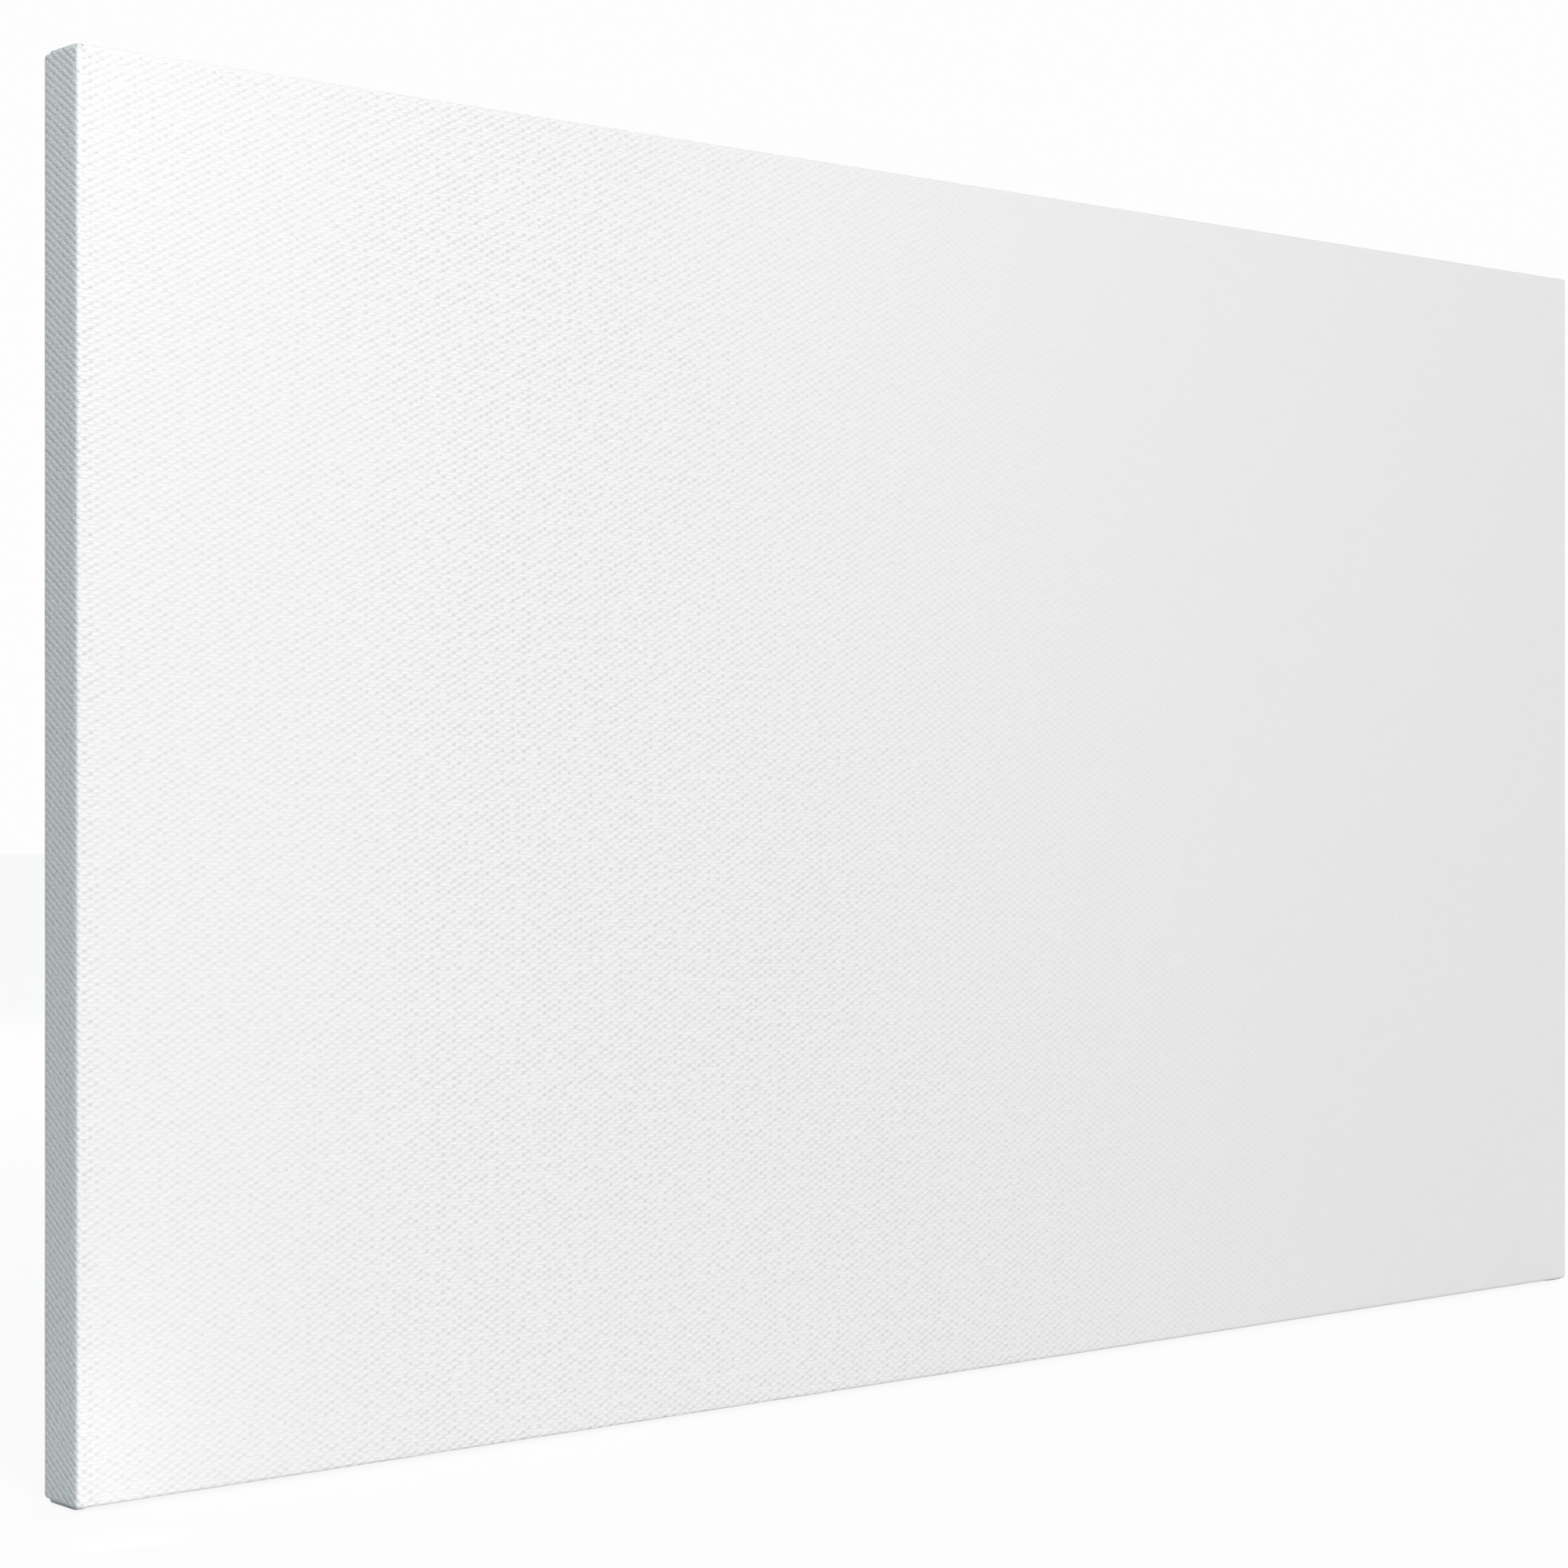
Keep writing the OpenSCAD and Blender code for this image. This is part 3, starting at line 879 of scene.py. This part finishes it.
def bend_staple(bm):
    """One staple at the origin, its crown along X and its legs down: a wire section, extruded and bent."""
    s = bpy.context.scene.canvas_staples
    made = bmesh.ops.create_grid(bm, x_segments=1, y_segments=1, size=0.5)["verts"]
    bmesh.ops.scale(bm, vec=(s.wire_depth, s.wire_width, 1), verts=made)
    bmesh.ops.translate(bm, vec=(-CROWN / 2 + s.wire_depth / 2, 0, -LEG), verts=made)

    def draw(faces, move):
        grown = bmesh.ops.extrude_face_region(bm, geom=faces)["geom"]
        end = [g for g in grown if isinstance(g, bmesh.types.BMFace)]
        bmesh.ops.translate(bm, vec=move, verts=list({v for f in end for v in f.verts}))
        return end

    def bend(faces, centre):
        spun = bmesh.ops.spin(
            bm, geom=faces, cent=centre, axis=BACKWARD, angle=math.pi / 2, steps=4, use_merge=False)
        return [g for g in spun["geom_last"] if isinstance(g, bmesh.types.BMFace)]

    end = draw(list({f for v in made for f in v.link_faces}), (0, 0, LEG - BEND))
    end = bend(end, (-CROWN / 2 + BEND, 0, -BEND))
    end = draw(end, (CROWN - 2 * BEND, 0, 0))
    end = bend(end, (CROWN / 2 - BEND, 0, -BEND))
    draw(end, (0, 0, BEND - LEG))
    bmesh.ops.remove_doubles(bm, verts=bm.verts[:], dist=0.01 * MM)
    bmesh.ops.recalc_face_normals(bm, faces=bm.faces[:])
    sharp = [e for e in bm.edges if e.calc_face_angle(0) > 0.9]
    bmesh.ops.bevel(
        bm, geom=sharp, offset=0.13 * MM, offset_type="OFFSET", segments=2, profile=0.5, affect="EDGES",
        material=-1)


class CANVAS_OT_staples(bpy.types.Operator):
    """Bend the wire staples that hold the margin, each a little differently set"""

    bl_idname = "canvas.staples"
    bl_label = "Staples"

    def execute(self, context):
        proud = context.scene.canvas_staples.proud
        material = staple_material()
        rng = random.Random(11)
        for node in STAPLES:
            low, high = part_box(node)
            bm = bmesh.new()
            for middle, along in PLACES:
                if not (low.x - MM < middle.x < high.x + MM and low.z - MM < middle.z < high.z + MM):
                    continue
                one = bmesh.new()
                bend_staple(one)
                turn = Matrix((along, along.cross(BACKWARD), BACKWARD)).transposed().to_4x4()
                tilt = Matrix.Rotation(rng.uniform(-0.02, 0.02), 4, "Y")
                tilt = tilt @ Matrix.Rotation(rng.uniform(-0.05, 0.05), 4, "Z")
                lift = Matrix.Translation((0, 0, proud * rng.uniform(0.6, 1.2)))
                seat = Matrix.Translation(middle) @ turn @ lift @ tilt
                bmesh.ops.transform(one, matrix=seat, verts=one.verts[:])
                piece = bpy.data.meshes.new("one_staple")
                one.to_mesh(piece)
                one.free()
                bm.from_mesh(piece)
                bpy.data.meshes.remove(piece)
            for f in bm.faces:
                f.smooth = True
            o = placed(node + "_wire", bm)
            o.data.materials.append(material)
            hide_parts(node)
            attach(o, "stretcher")
        return {"FINISHED"}


# ---- The studio ----

FLOOR_REACH = 6.0
FLOOR_GAP = 0.02 * MM
FLOOR_BOUNCE, FLOOR_SEEN, FLOOR_GLOW = (0.75, 0.75, 0.75), (0.95, 0.95, 0.95), 0.90
SKY_SEEN = (0.985, 0.985, 0.985)
SHADE_START, SHADE_FULL = -0.05, -0.50  # the light's direction along X
CAMERA_PLACE = (-0.59997, -0.63847, 0.15227)
CAMERA_TURN = (math.pi / 2, 0.0, -math.radians(40.532))

# (name, place, the point that it faces, its two sides, colour); its power is a setting of the stage.
WHITE = (1.0, 1.0, 1.0)
LAMPS = (
    ("key", (-0.97, -2.58, 1.36), (0.0, 0.0, 0.15), (0.68, 0.68), (1.0, 0.955, 0.95)),
    ("top", (-0.28, -0.34, 0.62), (-0.16, 0.0, 0.22), (0.40, 0.10), (1.0, 0.985, 0.98)),
    ("corner", (-0.36, -0.10, 0.38), (-0.254, 0.0, 0.29), (0.06, 0.06), WHITE),
    ("low", (-0.32, -0.20, 0.04), (-0.254, 0.0, 0.03), (0.08, 0.08), WHITE),
    ("foot", (-0.26, -0.042, 0.01), (-0.252, 0.0, 0.008), (0.02, 0.02), WHITE),
    ("back", (0.55, 1.0, 0.75), (0.0, 0.0, 0.15), (0.9, 0.9), (1.0, 0.95, 0.92)),
)


class CANVAS_OT_stage(bpy.types.Operator):
    """Set the plain floor, the soft lights and the camera"""

    bl_idname = "canvas.stage"
    bl_label = "Studio"

    def execute(self, context):
        scene, stage = context.scene, context.scene.canvas_stage
        bm = bmesh.new()
        bmesh.ops.create_grid(bm, x_segments=1, y_segments=1, size=FLOOR_REACH)
        bmesh.ops.translate(bm, vec=(0, 0, LOW.z - FLOOR_GAP), verts=bm.verts[:])
        floor = placed("studio_floor", bm)
        floor.data.materials.append(self.floor_material())
        self.world(scene, stage)
        for name, *lamp in LAMPS:
            self.lamp(name + "_light", getattr(stage, name + "_power"), *lamp)
        camera = bpy.data.cameras.new("camera")
        camera.lens = stage.lens
        camera.sensor_width = 36.0
        camera.clip_start, camera.clip_end = 0.01, 50.0
        o = bpy.data.objects.new("camera", camera)
        scene.collection.objects.link(o)
        o.location = CAMERA_PLACE
        o.rotation_euler = CAMERA_TURN
        scene.camera = o
        scene.view_settings.view_transform = "Standard"
        return {"FINISHED"}

    def lamp(self, name, power, place, target, size, colour):
        light = bpy.data.lights.new(name, "AREA")
        light.shape = "RECTANGLE"
        light.size, light.size_y = size
        light.energy = power
        light.color = colour
        o = bpy.data.objects.new(name, light)
        bpy.context.scene.collection.objects.link(o)
        o.location = place
        o.rotation_euler = (Vector(target) - Vector(place)).to_track_quat("-Z", "Y").to_euler()
        o.visible_camera = False

    def floor_material(self):
        """A pale floor that the camera sees as white, darker where the canvas shades it."""
        f = Finish("pale_floor")
        seen = f.seen()
        matt = f.add("BsdfDiffuse", {"Color": f.mix(seen, FLOOR_BOUNCE, FLOOR_SEEN)})
        glow = f.add("Emission", {"Color": (1.0, 1.0, 1.0, 1.0), "Strength": 1.0})
        share = f.math("MULTIPLY", seen, FLOOR_GLOW)
        both = f.add("MixShader", {0: share, 1: matt.outputs[0], 2: glow.outputs[0]})
        f.add("OutputMaterial", {0: both.outputs[0]})
        return f.material

    def world(self, scene, stage):
        """Even light, dimmer and cooler from the near side, in front of a white that the camera sees."""
        scene.world = bpy.data.worlds.new("studio")
        scene.world.use_nodes = True
        f = Nodes(scene.world.node_tree)
        across = f.split(f.add("TexCoord").outputs["Generated"])[0]
        light = f.mix(f.ramp(across, SHADE_START, SHADE_FULL), stage.ambient, stage.shade)
        back = f.add("Background", {0: f.mix(f.seen(), light, SKY_SEEN)})
        f.add("OutputWorld", {0: back.outputs[0]})


# ---- Panel and registration ----


class CANVAS_PT_panel(bpy.types.Panel):
    """Lists the pieces of the stretched canvas"""

    bl_idname = "CANVAS_PT_panel"
    bl_label = "Stretched Canvas"
    bl_space_type = "VIEW_3D"
    bl_region_type = "UI"
    bl_category = "Canvas"

    def draw(self, context):
        for operator in OPERATORS:
            self.layout.operator(operator.bl_idname)
        for name, _ in SETTINGS:
            group = getattr(context.scene, name)
            box = self.layout.box()
            for setting in group.__annotations__:
                box.prop(group, setting)


SETTINGS = (
    ("canvas_cloth", ClothSettings),
    ("canvas_wood", WoodSettings),
    ("canvas_staples", StapleSettings),
    ("canvas_stage", StageSettings),
)
OPERATORS = (
    CANVAS_OT_cloth, CANVAS_OT_fraying, CANVAS_OT_bars, CANVAS_OT_keys, CANVAS_OT_staples, CANVAS_OT_stage)


def register():
    for name, group in SETTINGS:
        bpy.utils.register_class(group)
        setattr(bpy.types.Scene, name, PointerProperty(type=group))
    for operator in OPERATORS:
        bpy.utils.register_class(operator)
    bpy.utils.register_class(CANVAS_PT_panel)


def unregister():
    bpy.utils.unregister_class(CANVAS_PT_panel)
    for operator in reversed(OPERATORS):
        bpy.utils.unregister_class(operator)
    for name, group in reversed(SETTINGS):
        delattr(bpy.types.Scene, name)
        bpy.utils.unregister_class(group)


def main():
    register()
    bpy.ops.canvas.cloth()
    bpy.ops.canvas.fraying()
    bpy.ops.canvas.bars()
    bpy.ops.canvas.keys()
    bpy.ops.canvas.staples()
    bpy.ops.canvas.stage()


if __name__ == "__main__":
    main()
